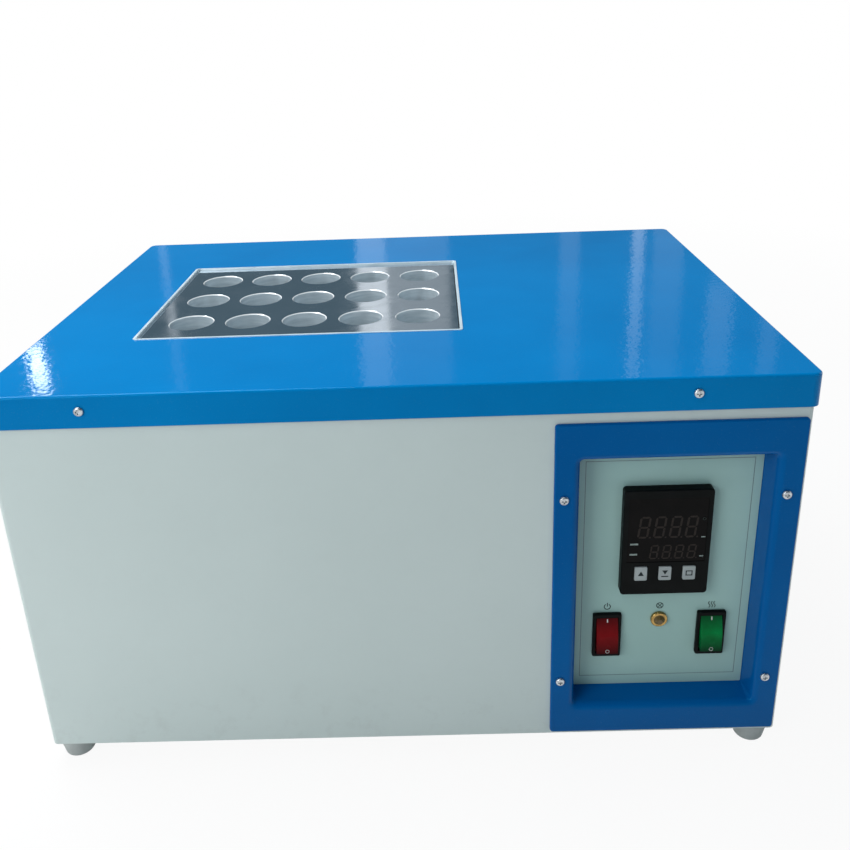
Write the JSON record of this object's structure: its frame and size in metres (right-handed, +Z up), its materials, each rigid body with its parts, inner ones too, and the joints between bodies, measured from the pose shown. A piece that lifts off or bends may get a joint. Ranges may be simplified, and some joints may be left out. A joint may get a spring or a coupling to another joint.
{
  "type": "chemical oxygen demand reactor",
  "caption": "Dry-block digestion heater in a two-tone sheet-metal cabinet, with a grid of round vessel wells on top and a recessed control panel at the front right.",
  "frame": {"origin": "on the bench, under the middle of the whole object", "axes": "+X to the right seen from the control side, +Y to the back, +Z up"},
  "size_m": [0.6435, 0.4814, 0.3566],
  "materials": {
    "blue_paint": "glossy blue stove enamel",
    "grey_paint": "pale grey-green powder coat",
    "steel_screw": "bright plated screws",
    "zinc_sheet": "galvanised sheet",
    "stainless": "stainless steel",
    "aluminium": "machined aluminium with fine tool marks",
    "wool": "white ceramic-fibre board",
    "ceramic": "unglazed ceramic",
    "label_film": "pale printed polycarbonate film",
    "black_plastic": "fine-grained black polycarbonate",
    "smoked_window": "smoked black window",
    "grey_key": "pale grey silicone keys",
    "red_rocker": "translucent red plastic",
    "green_rocker": "translucent green plastic",
    "brass": "polished brass",
    "amber_lens": "clear amber plastic",
    "black_nylon": "black nylon",
    "rubber": "pale grey rubber",
    "relay_case": "ivory plastic"
  },
  "bodies": {
    "cabinet": {"cabinet_shell": "grey_paint", "base_plate": "zinc_sheet", "back_panel": "grey_paint", "top_cover": "blue_paint", "heater_block": "aluminium", "opening_trim": "steel_screw", "strip_heaters": "stainless", "clamp_plate": "zinc_sheet", "clamp_screws": "steel_screw", "block_pillars": "ceramic", "base_insulation": "wool", "jacket_insulation": "wool", "inner_tub": "zinc_sheet", "tub_legs": "zinc_sheet", "temperature_probe": "stainless", "control_panel": "blue_paint", "panel_label": "label_film", "panel_screws": "steel_screw", "controller_housing": "black_plastic", "controller_window": "smoked_window", "controller_clamps": "black_plastic", "mains_switch_housing": "black_plastic", "mains_switch_terminals": "brass", "heat_switch_housing": "black_plastic", "heat_switch_terminals": "brass", "lamp_bezel": "brass", "lamp_lens": "amber_lens", "lamp_nut": "brass", "cable_gland": "black_nylon", "gland_nut": "black_nylon", "fuse_holder": "black_nylon", "fuse_nut": "black_nylon", "heat_shield": "zinc_sheet", "relay_heat_sink": "aluminium", "solid_state_relay": "relay_case", "terminal_strip": "relay_case", "cover_screws": "steel_screw", "back_panel_screws": "steel_screw", "foot_fasteners": "steel_screw", "foot_front_left": "rubber", "foot_front_right": "rubber", "foot_back_left": "rubber", "foot_back_right": "rubber"},
    "mains_rocker": {"mains_rocker": "red_rocker"},
    "heat_rocker": {"heat_rocker": "green_rocker"},
    "up_key": {"up_key": "grey_key"},
    "down_key": {"down_key": "grey_key"},
    "set_key": {"set_key": "grey_key"},
    "fuse_cap": {"fuse_cap": "black_nylon"}
  },
  "joints": [
    {"name": "mains_rocker_tilt", "type": "hinge", "parent": "cabinet", "child": "mains_rocker", "pos_m": [0.17165, -0.2154, 0.1088], "axis": [1, 0, 0], "range_deg": [0, 20]},
    {"name": "heat_rocker_tilt", "type": "hinge", "parent": "cabinet", "child": "heat_rocker", "pos_m": [0.26025, -0.2154, 0.1088], "axis": [1, 0, 0], "range_deg": [0, 20]},
    {"name": "up_key_press", "type": "slide", "parent": "cabinet", "child": "up_key", "axis": [0, 1, 0], "range_m": [0, 0.0008], "stiffness_N_per_m": 900, "springref_m": -0.0003},
    {"name": "down_key_press", "type": "slide", "parent": "cabinet", "child": "down_key", "axis": [0, 1, 0], "range_m": [0, 0.0008], "stiffness_N_per_m": 900, "springref_m": -0.0003},
    {"name": "set_key_press", "type": "slide", "parent": "cabinet", "child": "set_key", "axis": [0, 1, 0], "range_m": [0, 0.0008], "stiffness_N_per_m": 900, "springref_m": -0.0003},
    {"name": "fuse_cap_turn", "type": "hinge", "parent": "cabinet", "child": "fuse_cap", "pos_m": [0.18175, 0.22375, 0.079], "axis": [0, 1, 0], "range_deg": [0, 90]}
  ]
}
